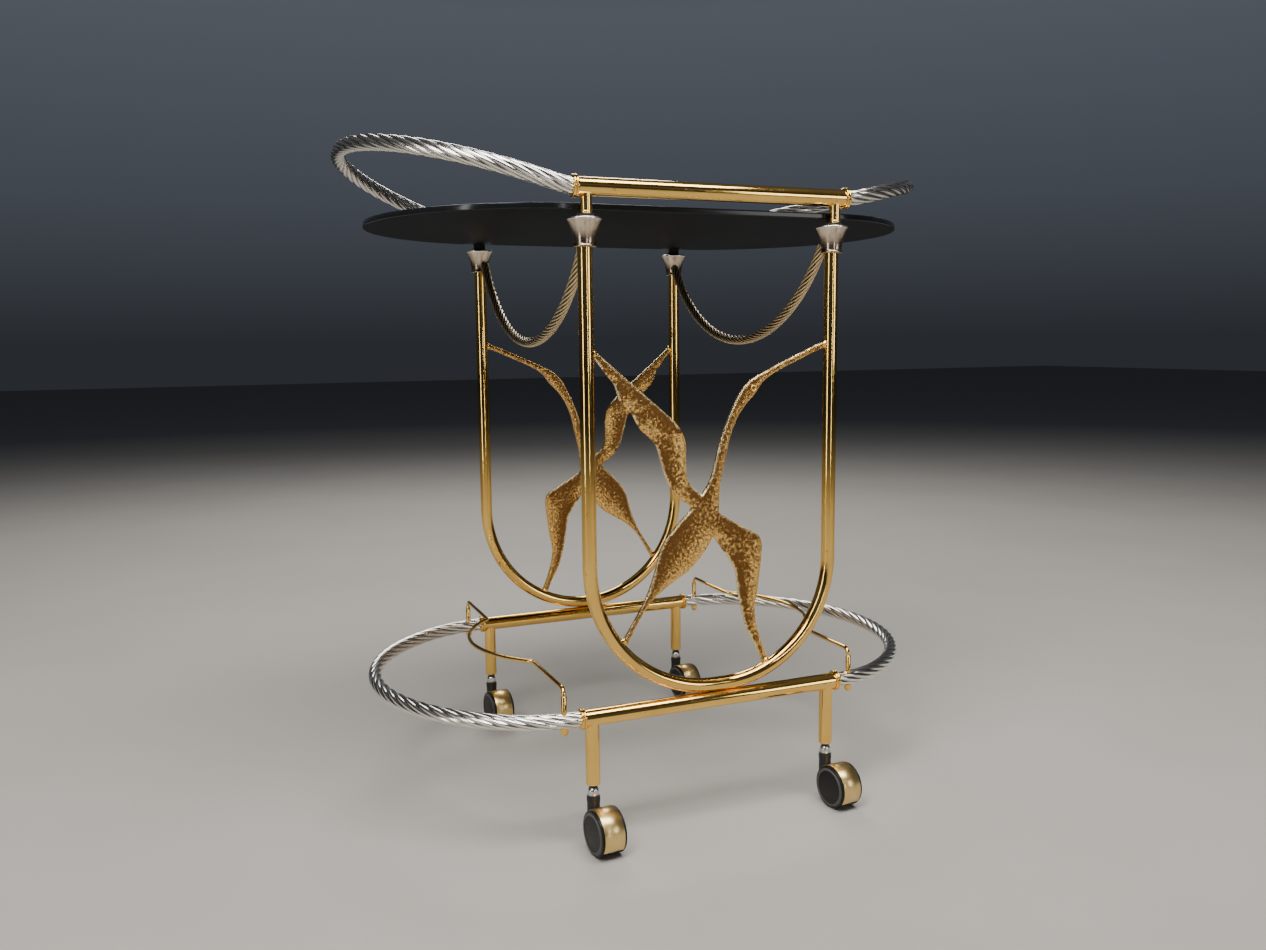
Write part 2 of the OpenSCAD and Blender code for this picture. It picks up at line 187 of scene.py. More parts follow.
def lathe(profile, origin, axis, sides):
    """Turns an open profile of (radius, height) points once round an axis."""
    axis = axis.normalized()
    first = axis.orthogonal().normalized()
    second = axis.cross(first)
    return skin([circle(origin + z * axis, r, first, second, sides) for r, z in profile])


def sweep(profile, origin, axis, sides, turn, start):
    """Turns a closed (radius, height) profile round an axis by an angle, from a direction."""
    axis = axis.normalized()
    first = (start - axis * start.dot(axis)).normalized()
    second = axis.cross(first)
    count = ceil(sides * turn / (2 * pi))
    rings = []
    for i in range(count + 1):
        a = turn * i / count
        out = cos(a) * first + sin(a) * second
        rings.append([origin + z * axis + r * out for r, z in profile])
    return skin(rings)


def rounded(profile, radius, steps=4):
    """An outline with each corner but its ends replaced by a curve of about that radius."""
    made = [profile[0]]
    for before, here, after in zip(profile, profile[1:], profile[2:]):
        before, here, after = Vector(before), Vector(here), Vector(after)
        back, ahead = before - here, after - here
        reach = min(radius, back.length / 2.1, ahead.length / 2.1)
        a, c = here + back.normalized() * reach, here + ahead.normalized() * reach
        for i in range(steps + 1):
            u = i / steps
            made.append(tuple((1 - u) ** 2 * a + 2 * u * (1 - u) * here + u ** 2 * c))
    return made + [profile[-1]]


def arc(middle_point, radius, start, end, first, second, step=4 * MM):
    """Points on an arc in the plane of two directions, from one angle to another."""
    count = max(2, ceil(abs(end - start) * radius / step))
    angles = (start + (end - start) * i / count for i in range(count + 1))
    return [middle_point + radius * (cos(a) * first + sin(a) * second) for a in angles]


def joined(*paths):
    """Paths end to end, without the points that they share."""
    made = []
    for path in paths:
        made += [p for p in path if not made or (p - made[-1]).length > TOUCHING]
    return made


# Materials

def shader(name, colour, metallic=0.0, roughness=0.5, **sockets):
    """A material and its Principled shader, with plain values on the shader's sockets."""
    material = bpy.data.materials.new(name)
    material.use_nodes = True
    node = material.node_tree.nodes["Principled BSDF"]
    node.inputs["Base Color"].default_value = (*colour, 1)
    node.inputs["Metallic"].default_value = metallic
    node.inputs["Roughness"].default_value = roughness
    for socket, value in sockets.items():
        node.inputs[socket.replace("_", " ")].default_value = value
    material.diffuse_color = (*colour, 1)
    return material, node


class Weaver:
    """Adds and links nodes in a material."""

    def __init__(self, material, bsdf):
        self.tree, self.bsdf = material.node_tree, bsdf
        self.place = self.tree.nodes.new("ShaderNodeTexCoord").outputs["Object"]

    def add(self, kind, inputs=(), **settings):
        """A new node, with each input set to a value or linked to an output."""
        node = self.tree.nodes.new(kind)
        for key, value in settings.items():
            setattr(node, key, value)
        for key, value in dict(inputs).items():
            if hasattr(value, "is_output"):
                self.tree.links.new(value, node.inputs[key])
            else:
                node.inputs[key].default_value = value
        return node

    def stretched(self, scale):
        """Places scaled along each axis, which draws a pattern out."""
        return self.add("ShaderNodeMapping", {"Vector": self.place, "Scale": scale}).outputs[0]

    def noise(self, scale, detail=3.0, rough=0.55, vector=None):
        """A cloudy pattern from 0 to 1."""
        values = {"Vector": vector or self.place, "Scale": scale, "Detail": detail,
                  "Roughness": rough}
        return self.add("ShaderNodeTexNoise", values).outputs["Fac"]

    def ramp(self, value, *stops):
        """Turns a value into colours or greys through (value, colour) stops."""
        node = self.add("ShaderNodeValToRGB", {"Fac": value})
        elements = node.color_ramp.elements
        while len(elements) < len(stops):
            elements.new(0.5)
        for element, (at, colour) in zip(elements, stops):
            element.position = at
            shown = colour if isinstance(colour, tuple) else (colour,) * 3
            element.color = (*shown, 1)
        return node.outputs["Color"]

    def mix(self, amount, low, high):
        """Blend of two colours by an amount."""
        node = self.add("ShaderNodeMix", data_type="RGBA")
        sockets = node.inputs[0], node.inputs[6], node.inputs[7]
        for socket, value in zip(sockets, (amount, low, high)):
            if hasattr(value, "is_output"):
                self.tree.links.new(value, socket)
            else:
                socket.default_value = (*value, 1) if isinstance(value, tuple) else value
        return node.outputs[2]

    def math(self, operation, *values):
        """Sum, product or the like of values."""
        return self.add("ShaderNodeMath", dict(enumerate(values)), operation=operation).outputs[0]

    def attribute(self, name):
        """The number that a mesh keeps for each of its points."""
        return self.add("ShaderNodeAttribute", attribute_name=name).outputs["Fac"]

    def feed(self, socket, value):
        """Links an output to the shader."""
        self.tree.links.new(value, self.bsdf.inputs[socket])

    def bump(self, height, distance, strength):
        """Feeds the shader's normal with small bumps."""
        values = {"Height": height, "Distance": distance, "Strength": strength}
        self.feed("Normal", self.add("ShaderNodeBump", values).outputs["Normal"])


def gilt(name, bright, dull, roughness, wear):
    """Polished gilt metal with cloudy lacquer, fine scratches and small worn spots."""
    material, bsdf = shader(name, bright, 1.0, roughness)
    w = Weaver(material, bsdf)
    cloud = w.ramp(w.noise(22), (0.35, 0.0), (0.75, 1.0))
    spots = w.ramp(w.noise(210, 4), (0.66, 0.0), (0.72, 1.0))
    colour = w.mix(w.math("MULTIPLY", cloud, 0.45), bright, dull)
    w.feed("Base Color", w.mix(w.math("MULTIPLY", spots, wear), colour, (0.16, 0.07, 0.02)))
    smear = w.math("MULTIPLY_ADD", w.noise(60), 0.10, roughness - 0.04)
    w.feed("Roughness", w.math("ADD", smear, w.math("MULTIPLY", spots, 0.3 * wear)))
    w.bump(w.noise(900, 2, vector=w.stretched((1, 1, 0.15))), 0.02 * MM, 0.35)
    return material


def brushed(name, bright, dull):
    """Satin brass with fine scratches along its strip and darker worn specks."""
    material, bsdf = shader(name, bright, 1.0, 0.2)
    w = Weaver(material, bsdf)
    brush = w.noise(90, 5, 0.75, w.stretched((1, 1, 14)))
    specks = w.ramp(w.noise(420, 5, 0.7), (0.62, 0.0), (0.70, 0.8))
    colour = w.mix(brush, bright, dull)
    w.feed("Base Color", w.mix(specks, colour, (0.17, 0.09, 0.03)))
    w.feed("Roughness", w.math("MULTIPLY_ADD", brush, 0.18, 0.22))
    w.bump(brush, 0.05 * MM, 0.5)
    return material


def twisted(name, bright, shade_and_dirt, roughness):
    """Bright twisted metal, darkened down in its grooves by painted shade and tarnish."""
    material, bsdf = shader(name, bright, 1.0, 0.2)
    w = Weaver(material, bsdf)
    patches = w.math("MULTIPLY_ADD", w.noise(45), 0.7, 0.55)
    # Painted shade and tarnish: the grooves darken, unevenly along the tube.
    groove_shade_and_grime = w.math("MULTIPLY", w.attribute("groove"), patches)
    w.feed("Base Color", w.mix(groove_shade_and_grime, bright, shade_and_dirt))
    w.feed("Roughness", w.math("MULTIPLY_ADD", w.noise(130, 4), 0.22, roughness))
    w.bump(w.noise(700, 3), 0.04 * MM, 0.4)
    return material


def chrome(name, colour, roughness):
    """Plated metal with faint turning marks and haze."""
    material, bsdf = shader(name, colour, 1.0, roughness)
    w = Weaver(material, bsdf)
    haze = w.noise(70, 4)
    w.feed("Base Color", w.mix(haze, colour, tuple(0.78 * c for c in colour)))
    w.feed("Roughness", w.math("MULTIPLY_ADD", haze, 0.2, roughness - 0.06))
    w.bump(w.noise(300, 3, vector=w.stretched((1, 1, 0.06))), 0.05 * MM, 0.3)
    return material


def cup_metal():
    """Warm plating with upright streaks, painted shade towards the foot and a painted highlight at the rim."""
    material, bsdf = shader("cup_chrome", (0.74, 0.66, 0.56), 1.0, 0.22)
    w = Weaver(material, bsdf)
    height = w.attribute("height")
    streak = w.noise(260, 4, 0.7, w.stretched((1, 1, 0.05)))
    # Painted shade: the plating darkens and browns from the rim down to the foot.
    body = w.mix(height, (0.40, 0.29, 0.19), (0.84, 0.72, 0.58))
    body = w.mix(w.ramp(streak, (0.42, 0.0), (0.72, 0.75)), body, (0.24, 0.17, 0.11))
    # Painted highlight: a near-white band round the rim.
    w.feed("Base Color", w.mix(w.ramp(height, (0.90, 0.0), (0.95, 1.0)), body, (0.92, 0.89, 0.84)))
    w.feed("Roughness", w.math("MULTIPLY_ADD", streak, 0.25, 0.10))
    w.bump(streak, 0.08 * MM, 0.4)
    return material


def patina():
    """Hammered old gold: dark mottling near upper edges, a polished bevel with a painted highlight, and plain
    gold.
    """
    material, bsdf = shader("patina_brass", (0.86, 0.56, 0.18), 1.0, 0.24)
    w = Weaver(material, bsdf)
    shade, rim = w.attribute("shade"), w.attribute("rim")
    blotch = w.noise(330, 6, 0.75)
    grain = w.noise(900, 4, 0.7)
    mask = w.math("MULTIPLY_ADD", shade, 0.26, blotch)
    mask = w.math("ADD", mask, w.math("MULTIPLY", grain, 0.30))
    mask = w.math("SUBTRACT", mask, w.math("MULTIPLY", rim, 0.30))
    mask = w.ramp(mask, (0.68, 0.0), (0.78, 1.0))
    gold = w.mix(w.noise(40), (1.0, 0.66, 0.22), (0.90, 0.50, 0.13))
    # Painted highlight: the polished upper bevel is paled towards white gold.
    gold = w.mix(w.math("MULTIPLY", rim, 0.85), gold, (1.0, 0.84, 0.48))
    brown = w.mix(grain, (0.20, 0.070, 0.018), (0.020, 0.008, 0.003))
    w.feed("Base Color", w.mix(w.math("MULTIPLY", mask, 0.92), gold, brown))
    sheen = w.math("MULTIPLY_ADD", rim, -0.10, 0.23)
    w.feed("Roughness", w.math("MULTIPLY_ADD", mask, 0.14, sheen))
    w.bump(w.math("ADD", w.math("MULTIPLY", blotch, 0.9), grain), 0.5 * MM, 0.8)
    return material


def plastic(name, colour, roughness, grain_scale, grain_height):
    """Moulded plastic or rubber with a fine grain."""
    material, bsdf = shader(name, colour, 0.0, roughness)
    w = Weaver(material, bsdf)
    w.feed("Base Color", w.mix(w.noise(90, 4), colour, tuple(1.8 * c for c in colour)))
    w.feed("Roughness", w.math("MULTIPLY_ADD", w.noise(240, 3), 0.2, roughness - 0.1))
    w.bump(w.noise(grain_scale, 2), grain_height, 0.6)
    return material


def wheel_plastic():
    """Black moulded plastic with a greyer, worn lip round the cap."""
    black, worn = (0.005, 0.005, 0.005), (0.10, 0.097, 0.093)
    material, bsdf = shader("wheel_plastic", black, 0.0, 0.4, Specular_IOR_Level=0.3)
    w = Weaver(material, bsdf)
    rubbed = w.math("MULTIPLY_ADD", w.noise(200, 4), 0.8, 0.5)
    w.feed("Base Color", w.mix(w.math("MULTIPLY", w.attribute("lip"), rubbed), black, worn))
    w.feed("Roughness", w.math("MULTIPLY_ADD", w.noise(240, 3), 0.2, 0.26))
    w.bump(w.noise(700, 2), 0.05 * MM, 0.6)
    return material


def smoked_glass():
    """Black glass with faint smears and dust."""
    black, dusty = (0.012, 0.013, 0.015), (0.020, 0.022, 0.024)
    material, bsdf = shader("smoked_glass", black, 0.0, 0.2, Specular_IOR_Level=0.3)
    w = Weaver(material, bsdf)
    smear = w.noise(7, 5, vector=w.stretched((1, 2.5, 1)))
    w.feed("Base Color", w.mix(smear, black, dusty))
    w.feed("Roughness", w.math("MULTIPLY_ADD", smear, 0.12, 0.08))
    return material


def painted_underside():
    """Dull black back of the glass."""
    paint = (0.006, 0.007, 0.009)
    material, bsdf = shader("glass_back", paint, 0.0, 0.5, Specular_IOR_Level=0.02)
    w = Weaver(material, bsdf)
    w.feed("Base Color", w.mix(w.noise(12, 4), (0.006, 0.008, 0.011), (0.010, 0.012, 0.016)))
    return material


MATERIALS = {
    "gilt_tube": gilt("gilt_tube", (0.95, 0.615, 0.165), (0.80, 0.42, 0.09), 0.07, 0.6),
    "twisted_metal": twisted("twisted_metal", (0.93, 0.90, 0.84), (0.26, 0.21, 0.14), 0.08),
    "swag_metal": twisted("swag_metal", (0.86, 0.68, 0.40), (0.05, 0.032, 0.014), 0.24),
    "patina_brass": patina(),
    "cup_chrome": cup_metal(),
    "stem_steel": chrome("stem_steel", (0.72, 0.72, 0.71), 0.2),
    "smoked_glass": smoked_glass(),
    "black_rubber": plastic("black_rubber", (0.012, 0.012, 0.012), 0.75, 900, 0.1 * MM),
    "black_nylon": plastic("black_nylon", (0.009, 0.009, 0.010), 0.45, 1400, 0.06 * MM),
    "wheel_plastic": wheel_plastic(),
    "hood_brass": brushed("hood_brass", (0.90, 0.68, 0.30), (0.74, 0.50, 0.18)),
}


# CAD nodes that stay get their slot's material

def paint_frame():
    """Puts each CAD node in the material of its slot."""
    for row in frame["record"]["subparts"]:
        node = frame["nodes"][row["node"]]
        node.data.materials.clear()
        node.data.materials.append(MATERIALS[row["material_slot"]])


# Straight tubes, legs and posts

def straight_tubes():
    """The four straight tubes of the ring and the rail."""
    chamfer = 0.4 * MM
    for node in ("lower_tube_front", "lower_tube_back", "rail_tube_front", "rail_tube_back"):
        place, reach = middle(node), spread(node).x / 2
        path = line(place - reach * X, place + reach * X, chamfer)
        new_piece(node + "_shell", mesh_of(node, [rod(path, tube_r, Z, chamfer)]),
                  "frame", "gilt_tube", [node])


def legs():
    """Each leg is a tube with a slightly rounded lower end."""
    for c in CORNERS:
        place = foot_of("leg_" + c)
        profile = rounded([(0, 0), (arm_r, 0), (arm_r, ring_z - place.z)], 1.0 * MM)
        mesh = mesh_of("leg", [lathe(profile, place, Z, TUBE_SIDES)])
        new_piece("leg_shell_" + c, mesh, "frame", "gilt_tube", ["leg_" + c])


def rail_posts():
    """Each post has a thin foot ring on the pad."""
    foot_high, neck_high, step_in, eased = 2.0 * MM, 2.6 * MM, 0.4 * MM, 0.5 * MM
    for c in CORNERS:
        node = "rail_post_" + c
        place = foot_of(node)
        foot = spread(node).x / 2
        post = foot - step_in
        rise = rail_z - place.z
        profile = [(0, 0), (foot, 0), (foot, foot_high), (post, neck_high), (post, rise)]
        mesh = mesh_of("post", [lathe(rounded(profile, eased), place, Z, 48)])
        new_piece("rail_post_shell_" + c, mesh, "frame", "gilt_tube", [node])


BEAD_STEPS = 8


def collars():
    """Two-bead bands where the twisted tubes meet the straight ones."""
    for node, half, y, z in (("lower_collars", ring_half, leg_y, ring_z),
                             ("rail_collars", rail_half, rail_y, rail_z)):
        reach = spread(node).z / 2
        width = (spread(node).x / 2 - half) * 2
        bead_r = width / 4
        profile = [(tube_r - MM, -width / 2)]
        for bead in (-1, 1):
            for i in range(BEAD_STEPS + 1):
                a = pi * (1 - i / BEAD_STEPS)
                profile.append((reach - bead_r * (1 - sin(a)), bead_r * (bead + cos(a))))
        profile.append((tube_r - MM, width / 2))
        places = [centre + Vector((sx * half, sy * y, z)) for sx in (-1, 1) for sy in (-1, 1)]
        parts = [lathe(profile, place, X, 64) for place in places]
        new_piece(node + "_beads", mesh_of(node, parts), "frame", "gilt_tube", [node], 60)


# U frames

FRONT_FLAT = 14 * MM    # straight stretch before the front frame's right bend


def u_path(y_side):
    """Centreline of a U frame: an arm, a bend, the stretch, a smaller bend and an arm."""
    low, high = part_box("u_frame_front")
    bend_z = low.z + arm_r
    arm_top = Z * (high.z - bend_z)
    flat = FRONT_FLAT if y_side < 0 else 0
    small = leg_x - flat
    right = X * -y_side
    foot = centre + Vector((0, y_side * leg_y, bend_z))
    return joined(
        [foot - leg_x * right + arm_top, foot - leg_x * right + leg_x * Z],
        arc(foot + leg_x * Z, leg_x, pi, 1.5 * pi, right, Z),
        arc(foot + flat * right + small * Z, small, 1.5 * pi, 2 * pi, right, Z),
        [foot + leg_x * right + small * Z, foot + leg_x * right + arm_top],
    )


def u_frames():
    """Both U frames: two arms and a bend."""
    for node, y_side in (("u_frame_front", -1), ("u_frame_back", 1)):
        mesh = mesh_of(node, [rod(u_path(y_side), arm_r, Y)])
        new_piece(node + "_tube", mesh, "frame", "gilt_tube", [node], 60)


# Twisted tubes

LOBES = 8
LOBE_SIDES = 8
LEAD = 160 * MM
SWAG_LEAD = 80 * MM
ARCH_JOIN = radians(60)
PATH_STEP = 2 * MM


def arch(half_width, depth):
    """(x, y) points on a three-centred arch that bulges to +X, its ends on the Y axis."""
    share = (half_width - depth) / (cos(ARCH_JOIN) + sin(ARCH_JOIN) - 1)
    big = depth + share * cos(ARCH_JOIN)
    small = half_width - share * sin(ARCH_JOIN)
    return joined(
        arc(Vector((0, small - half_width, 0)), small, -pi / 2, -ARCH_JOIN, X, Y, PATH_STEP),
        arc(Vector((depth - big, 0, 0)), big, -ARCH_JOIN, ARCH_JOIN, X, Y, PATH_STEP),
        arc(Vector((0, half_width - small, 0)), small, ARCH_JOIN, pi / 2, X, Y, PATH_STEP),
    )


def twisted_tube(node, path, radius, normal, slot="twisted_metal", lead=LEAD,
                 groove=0.16, darkening_falloff=1.6):
    """Lobed tube that turns right-handed along a path; groove is the grooves' depth as a share of
    the radius, and a lower falloff takes the painted shade and tarnish further up their sides."""
    around = LOBES * LOBE_SIDES
    rings, depths = [], []
    for point, side, up, distance in frames_along(path, normal):
        ring = []
        for k in range(around):
            a = 2 * pi * k / around
            hollow = 1 - abs(cos(LOBES * a / 2))
            r = radius * (1 - groove * hollow)
            turn = a + 2 * pi * distance / lead
            ring.append(point + r * (cos(turn) * side + sin(turn) * up))
            # how deep in a groove each point lies: the material darkens there with painted shade and tarnish
            depths.append(hollow ** darkening_falloff)
        rings.append(ring)
    mesh = mesh_of(node, [skin(rings)])
    mark(mesh, "groove", depths)
    new_piece(node + "_twist", mesh, "frame", slot, [node], 80)


def twisted_ends():
    """The lower ring's level ends and the rail's tilted end loops."""
    for name, sx in (("left", -1), ("right", 1)):
        turn = Matrix.Diagonal((sx, sx, 1))
        node = "lower_rope_" + name
        radius = spread(node).z / 2
        start = centre + Vector((sx * ring_half, 0, ring_z))
        flat = arch(leg_y, spread(node).x - radius)
        twisted_tube(node, [start + turn @ p for p in flat], radius, Z)

        node = "rail_rope_" + name
        low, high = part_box(node)
        radius = (high.y - low.y) / 2 - rail_y
        start = centre + Vector((sx * rail_half, 0, rail_z))
        run = (high.x - start.x if sx > 0 else start.x - low.x) - radius
        rise = high.z - radius - rail_z
        soft = 10 * MM     # the loop starts level and takes up its slope over about this length
        full = hypot(run, soft) - soft
        path = [start + turn @ Vector((p.x, p.y, rise * (hypot(p.x, soft) - soft) / full))
                for p in arch(rail_y, run)]
        plane = Vector((-sx * rise, 0, run)).normalized()
        twisted_tube(node, path, radius, plane)


def swags():
    """Rigid swags that hang as arcs between the front and back cups."""
    cup_inset, cup_drop = 11 * MM, 19 * MM
    for name in ("left", "right"):
        node = "swag_" + name
        low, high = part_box(node)
        radius = (high.x - low.x) / 2
        place = middle(node)
        bottom = low.z + radius
        end_y = leg_y - cup_inset
        sag = cup_top - cup_drop - bottom
        bend = (end_y ** 2 + sag ** 2) / (2 * sag)
        half = atan2(end_y, bend - sag)
        middle_point = Vector((place.x, centre.y, bottom + bend))
        path = arc(middle_point, bend, -half, half, -Z, Y, PATH_STEP)
        twisted_tube(node, path, radius, X, "swag_metal", SWAG_LEAD, 0.24, 0.8)


# Cups and glass

def cups():
    """Flared cups on the arms' tops: a foot ring, a waist, a flare and a thin rim, its highlight painted."""
    rim = spread("cup_fl").x / 2
    height = spread("cup_fl").z
    outline = [
        (12.0, 0), (12.5, 0.7), (12.5, 1.9), (11.9, 2.6), (11.6, 4), (11.7, 6.5), (12.0, 9.5),
        (12.5, 12.5), (13.3, 16), (14.4, 19.4), (15.7, 22.7), (17.0, 25.6), (17.8, 27.2),
    ]
    rim_low, ease, flat_r = 28.2 * MM, 0.6 * MM, 4 * MM
    profile = [(arm_r, 0)] + [(r * MM, z * MM) for r, z in outline]
    profile += [(rim, rim_low), (rim, height - ease), (rim - ease, height), (flat_r, height)]
    for c in CORNERS:
        place = foot_of("cup_" + c)
        mesh = mesh_of("cup", [lathe(rounded(profile, ease), place, Z, 80)])
        # share of the cup's height, which the material reads for painted shade low down and a painted highlight at
        # the rim
        level = [(v.co.z - place.z) / height for v in mesh.vertices]
        mark(mesh, "height", level)
        new_piece("cup_flare_" + c, mesh, "frame", "cup_chrome", ["cup_" + c])


GROUND_EDGE = 1.1 * MM


def glass():
    """The glass with its edges ground round and its underside painted."""
    node = frame["nodes"]["glass_top"]
    mesh = node.data.copy()
    work = bmesh.new()
    work.from_mesh(mesh)
    bmesh.ops.remove_doubles(work, verts=work.verts, dist=WELD_GAP)
    bmesh.ops.dissolve_limit(work, angle_limit=radians(1), verts=work.verts, edges=work.edges)
    rim = [e for e in work.edges if len(e.link_faces) == 2 and e.calc_face_angle(0) > radians(60)]
    bmesh.ops.bevel(work, geom=rim, offset=GROUND_EDGE, segments=4, profile=0.5, affect="EDGES")
    work.to_mesh(mesh)
    work.free()
    mesh.materials.clear()
    new_piece("glass_oval", mesh, "frame", "smoked_glass", ["glass_top"], 40)
    mesh.materials.append(painted_underside())
    for face in mesh.polygons:
        faces_down = face.normal.z < -0.9
        face.material_index = int(faces_down)


# Crane plates

VOXEL = 1.1 * MM
SHOULDER = 3.4 * MM       # how far in from an edge a plate is rounded
BEVEL = 6 * MM            # how far in the polished bevel and its painted highlight fade out
FACING = 0.45             # a point is on a face, not an edge, above this share of its normal
LEANING = 0.15            # an edge faces up or down above this share of its normal
SMOOTH_PASSES = 2


def nearest(tree, x, z):
    """Distance in the plate's plane to the nearest point of a tree."""
    return tree.find((x, 0, z))[2]


def tree_of(points):
    """Search tree of points in the plate's plane."""
    tree = KDTree(len(points))
    for i, p in enumerate(points):
        tree.insert((p.x, 0, p.z), i)
    tree.balance()
    return tree


def remeshed(mesh):
    """Even mesh over a copy of a CAD mesh."""
    work = bmesh.new()
    work.from_mesh(mesh)
    bmesh.ops.remove_doubles(work, verts=work.verts, dist=WELD_GAP)
    welded = bpy.data.meshes.new("welded")
    work.to_mesh(welded)
    work.free()
    holder = bpy.data.objects.new("holder", welded)
    bpy.context.scene.collection.objects.link(holder)
    step = holder.modifiers.new("voxels", "REMESH")
    step.mode = "VOXEL"
    step.voxel_size = VOXEL
    graph = bpy.context.evaluated_depsgraph_get()
    made = bpy.data.meshes.new_from_object(holder.evaluated_get(graph))
    bpy.data.objects.remove(holder)
    return made


def crane(name, out):
    """A hammered bird plate with rounded shoulders and dents, its eye and its welds; out is the
    way along Y that it faces."""
    node = "crane_" + name
    source = frame["nodes"][node].data
    mesh = remeshed(source)
    work = bmesh.new()
    work.from_mesh(mesh)
    for _ in range(SMOOTH_PASSES):
        bmesh.ops.smooth_vert(work, verts=work.verts, factor=0.4,
                              use_axis_x=True, use_axis_y=True, use_axis_z=True)
    work.normal_update()
    upper_way = Vector((out * 0.55, 0, 0.83))    # the patina, and the bevel's painted highlight, gather at edges that face this way
    dent, ripple_long = 3.6 * MM, 14 * MM
    walls = [v for v in work.verts if abs(v.normal.y) < FACING]
    edge = tree_of([v.co for v in walls])
    upper = tree_of([v.co for v in walls if v.normal.dot(upper_way) > LEANING])
    lower = tree_of([v.co for v in walls if v.normal.dot(upper_way) < -LEANING])
    shade, rim, moves = [], [], []
    for v in work.verts:
        x, y, z = v.co
        near, far = nearest(upper, x, z), nearest(lower, x, z)
        close = max(0.0, 1 - nearest(edge, x, z) / SHOULDER)
        shade.append(far / (near + far + 1e-9))
        # rim: the polished bevel along the upper edges, which the material also paints with a highlight
        rim.append(close * max(0.0, min(1.0, (far - near) / BEVEL)))
        dents = noise.voronoi(Vector((x, y * 0.3, z)) / dent)[0][0]
        ripple = noise.noise(Vector((x, y, z)) / ripple_long)
        move = (0.4 * dents - 0.35 * ripple + 1.5 * close ** 2) * MM
        moves.append(-move * v.normal.y * (abs(v.normal.y) > FACING))
    for v, move in zip(work.verts, moves):
        v.co.y += move
    work.to_mesh(mesh)
    work.free()
    mark(mesh, "shade", shade)
    mark(mesh, "rim", rim)
    new_piece(node + "_plate", mesh, "frame", "patina_brass", [node], 70)
    eye(node, out, source)
    weld_beads(node, out, source)


def eye(node, out, source):
    """The raised ring of a bird's eye, where the CAD plate stands furthest out."""
    bar, reach, sunk, level = 0.85 * MM, 3.0 * MM, 0.4, 0.05 * MM
    furthest = max(v.co.y * out for v in source.vertices)
    ring = [v.co for v in source.vertices if v.co.y * out > furthest - level]
    place = sum(ring, Vector()) / len(ring)
    place.y -= out * sunk * bar
    profile = [(reach + bar * cos(a), bar * sin(a)) for a in (2 * pi * k / 16 for k in range(16))]
    parts = [sweep(profile, place, Y, 40, 2 * pi, X)]
    new_piece(node + "_eye", mesh_of(node, parts), "frame", "gilt_tube")


def nearest_on(path, spot):
    """Nearest point to a spot on a path of straight pieces."""
    feet = []
    for a, b in zip(path, path[1:]):
        share = (spot - a).dot(b - a) / (b - a).length_squared
        feet.append(a + (b - a) * max(0.0, min(1.0, share)))
    return min(feet, key=lambda p: (p - spot).length)


def weld_tips(out, source):
    """Groups of (foot on the U frame, way out, y) for the plate's points that touch the frame."""
    reach, apart = arm_r + 2 * MM, 20 * MM
    path = u_path(out)
    tips = []
    for v in source.vertices:
        spot = Vector((v.co.x, path[0].y, v.co.z))
        foot = nearest_on(path, spot)
        if (foot - spot).length > reach:
            continue
        group = next((t for t in tips if (t[0][0] - foot).length < apart), None)
        if group is None:
            group = []
            tips.append(group)
        group.append((foot, (spot - foot).normalized(), v.co.y))
    return tips


def weld_beads(node, out, source):
    """A small lumpy bead of weld wherever the plate's tips meet the U frame."""
    bead_r, bead_high, sunk, lump = 4.4 * MM, 3.6 * MM, 0.4 * MM, 2.2 * MM
    profile = [(bead_r * sin(a), -bead_high * cos(a)) for a in (pi * k / 12 for k in range(1, 12))]
    parts = []
    for group in weld_tips(out, source):
        feet, ways, places_y = zip(*group)
        foot = sum(feet, Vector()) / len(group)
        way = sum(ways, Vector()).normalized()
        place = foot + way * (arm_r + sunk)
        place.y = (min(places_y) + max(places_y)) / 2
        points, faces = lathe(profile, place, way, 28)
        lumps = [p + (p - place) * 0.22 * noise.noise(p / lump) for p in points]
        parts.append((lumps, faces))
    new_piece(node + "_welds", mesh_of(node, parts), "frame", "gilt_tube", (), 180)


# Wires over the lower ring

WIRE_SIDES = 24


def wires():
    """Bottle wires: each has two short posts, two elbows and a bowed rail."""
    for name, sx in (("left", -1), ("right", 1)):
        node = "wire_" + name
        low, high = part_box(node)
        radius, elbow, kink, post, shoulder = 2.5 * MM, 8 * MM, 105 * MM, 3.2 * MM, 0.8 * MM
        z = high.z - radius
        y_end = (high.y - low.y) / 2 - post
        inner = (low.x if sx > 0 else high.x) + sx * post
        bow = (high.x - low.x) - post - radius
        bend = (kink ** 2 + bow ** 2) / (2 * bow)
        half = atan2(kink, bend - bow)
        base = Vector((inner, centre.y, z))
        start, end = -(y_end - elbow) * Y, (y_end - elbow) * Y
        path = joined(
            arc(base + start - elbow * Z, elbow, pi, pi / 2, Y, Z, 1 * MM),
            [base - kink * Y],
            arc(base + sx * (bow - bend) * X, bend, -half, half, sx * X, Y, 3 * MM),
            [base + kink * Y],
            arc(base + end - elbow * Z, elbow, pi / 2, 0, Y, Z, 1 * MM),
        )
        parts = [wire_rod(path, radius)]
        for sy in (-1, 1):
            foot = base + sy * y_end * Y
            foot.z = ring_z
            top = z - elbow - ring_z
            profile = [(0, 0), (post, 0), (post, top - shoulder), (radius, top)]
            parts.append(lathe(profile, foot, Z, 32))
        new_piece(node + "_rod", mesh_of(node, parts), "frame", "gilt_tube", [node], 50)


def wire_rod(path, radius):
    """Round wire on a path that bends in two planes."""
    side, rings = X, []
    for i, point in enumerate(path):
        ahead = (path[min(i + 1, len(path) - 1)] - path[max(i - 1, 0)]).normalized()
        side = (side - ahead * side.dot(ahead)).normalized()
        up = ahead.cross(side)
        rings.append(circle(point, radius, side, up, WIRE_SIDES))
    return skin(rings)


# Casters

